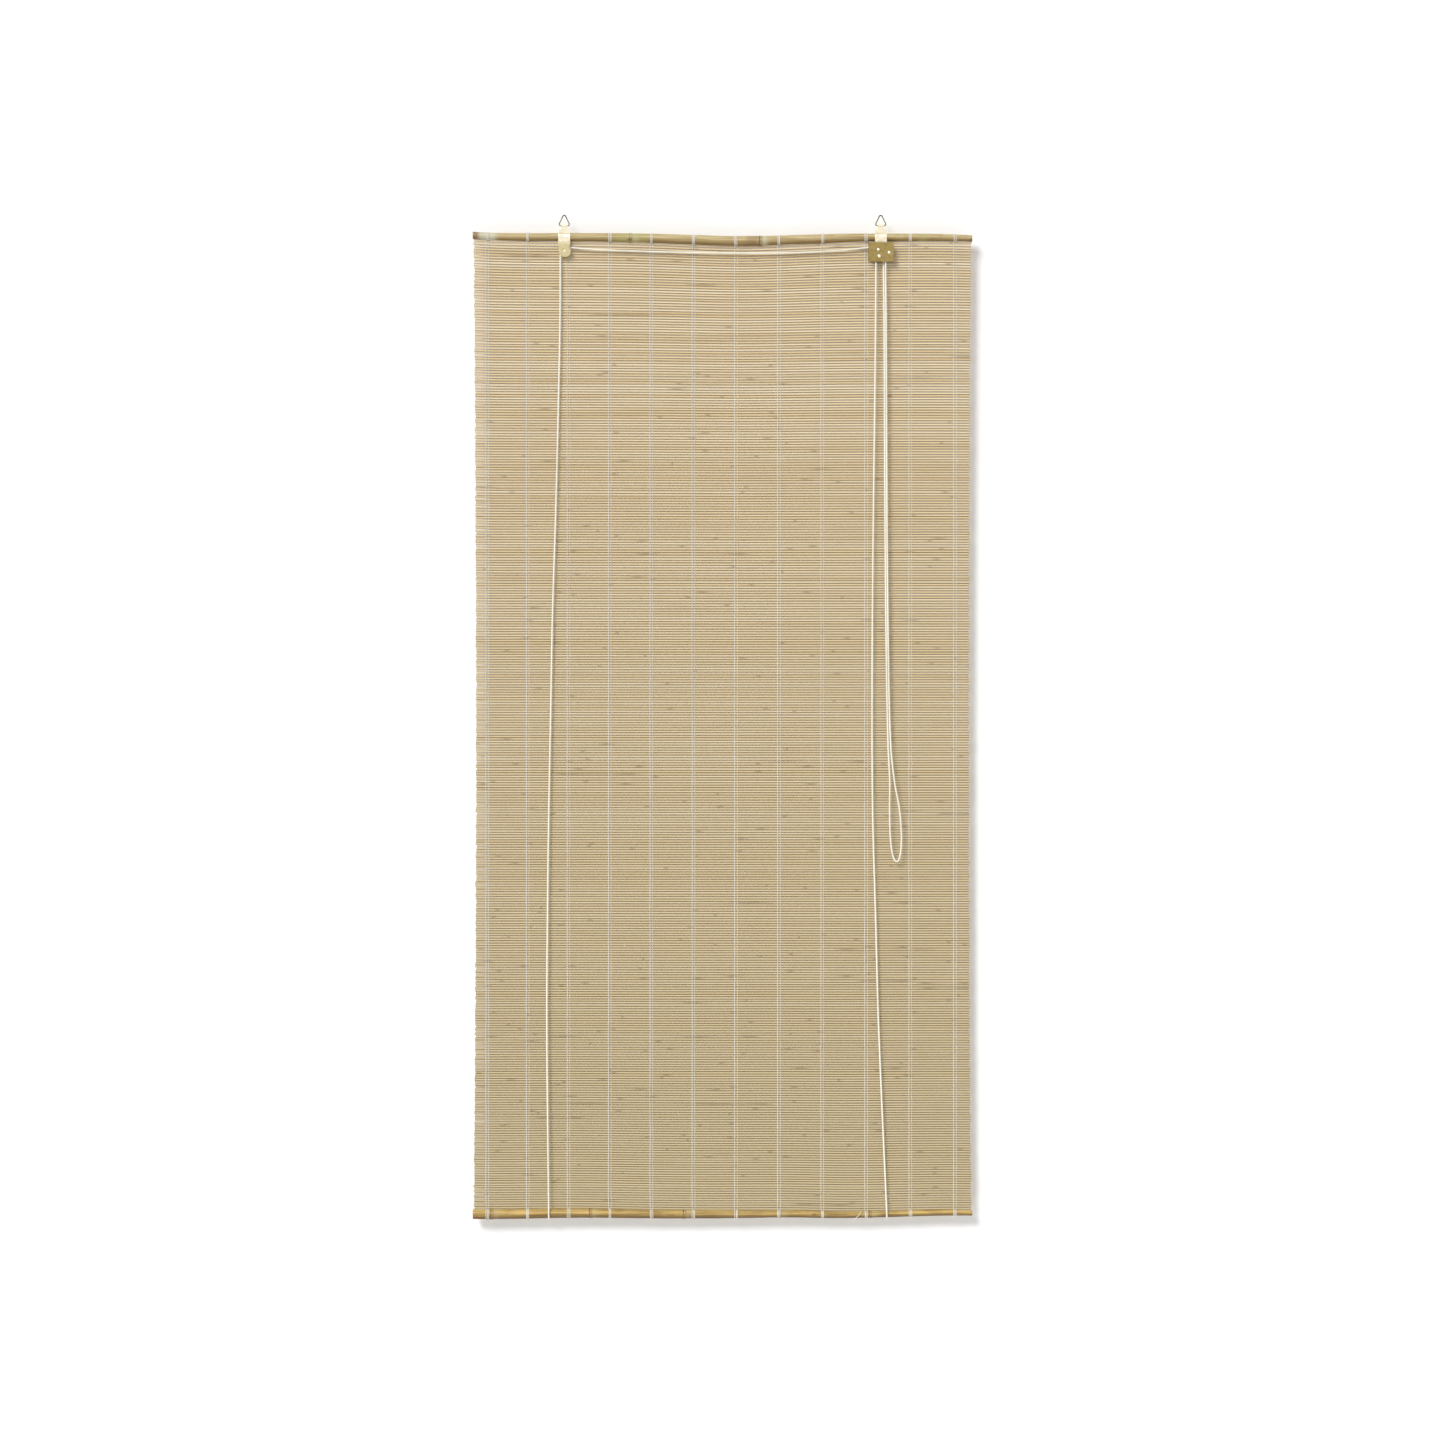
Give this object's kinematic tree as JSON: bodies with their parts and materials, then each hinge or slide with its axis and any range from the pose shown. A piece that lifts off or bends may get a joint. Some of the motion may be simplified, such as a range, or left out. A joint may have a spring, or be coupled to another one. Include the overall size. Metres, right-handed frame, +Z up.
{
  "type": "bamboo roll up blind",
  "caption": "Window blind of thin bamboo sticks bound by threads between two bamboo rails, hung from wire rings and rolled up by a cord over a pulley and a cord lock.",
  "frame": {"origin": "on the hang line, at the height of the inside of the hanging rings' tips, midway between the two rings", "axes": "+X to the right along the rails as seen from the room, -Y towards the room, +Z up"},
  "size_m": [0.8, 0.03, 1.6106],
  "materials": {
    "top_bamboo": "natural satin bamboo skin",
    "bottom_bamboo": "natural satin bamboo skin, golden",
    "bamboo_sticks": "split bamboo, matt",
    "thread": "cream cotton thread",
    "pale_brass": "pale plated sheet",
    "dull_brass": "dull plated sheet",
    "bright_wire": "bright plated wire",
    "bright_rivet": "bright plated",
    "wheel_plastic": "cream moulded",
    "white_cord": "braided cotton"
  },
  "bodies": {
    "head": {"top_rail": "top_bamboo", "slat_mat": "bamboo_sticks", "warp_threads": "thread", "top_ties": "thread", "pulley_bracket": "pale_brass", "lock_bracket": "dull_brass", "left_pulley_rivet": "bright_rivet", "lock_pulley_rivet": "bright_rivet", "lock_guide_post": "bright_rivet", "lock_cam_rivet": "bright_rivet", "left_tacks": "bright_rivet", "right_tacks": "bright_rivet", "left_lift_cord": "white_cord", "right_lift_cord": "white_cord", "left_anchor_knot": "white_cord", "right_anchor_knot": "white_cord", "cross_cord": "white_cord", "lock_turn_cord": "white_cord", "pull_cord": "white_cord"},
    "bottom_bar": {"bottom_rail": "bottom_bamboo", "bottom_ties": "thread", "left_rail_bight": "white_cord", "right_rail_bight": "white_cord"},
    "left_ring": {"left_hanging_ring": "bright_wire"},
    "right_ring": {"right_hanging_ring": "bright_wire"},
    "left_wheel": {"left_pulley": "wheel_plastic"},
    "lock_wheel": {"lock_pulley": "wheel_plastic"},
    "cam": {"lock_cam": "dull_brass"}
  },
  "joints": [
    {"name": "lift", "type": "slide", "parent": "head", "child": "bottom_bar", "axis": [0, 0, 1], "range_m": [0, 1.44], "deforming": ["slat_mat", "warp_threads", "left_lift_cord", "right_lift_cord"]},
    {"name": "left_pulley_spin", "type": "hinge", "parent": "head", "child": "left_wheel", "pos_m": [-0.2523, -0.0056, -0.05727], "axis": [0, 1, 0], "continuous": true},
    {"name": "lock_pulley_spin", "type": "hinge", "parent": "head", "child": "lock_wheel", "pos_m": [0.2494, -0.0074, -0.05516], "axis": [0, 1, 0], "continuous": true},
    {"name": "cam_release", "type": "hinge", "parent": "head", "child": "cam", "pos_m": [0.2664, -0.0074, -0.05966], "axis": [0, -1, 0], "range_deg": [0, 40]},
    {"name": "left_ring_swing", "type": "hinge", "parent": "head", "child": "left_ring", "pos_m": [-0.2535, 0, -0.0155], "axis": [1, 0, 0], "range_deg": [-85, 85]},
    {"name": "right_ring_swing", "type": "hinge", "parent": "head", "child": "right_ring", "pos_m": [0.2535, 0, -0.0155], "axis": [1, 0, 0], "range_deg": [-85, 85]}
  ],
  "couplings": [
    {"joint": "left_pulley_spin", "follows": "lift", "rad_per_m": 277.78},
    {"joint": "lock_pulley_spin", "follows": "lift", "rad_per_m": 333.33}
  ]
}
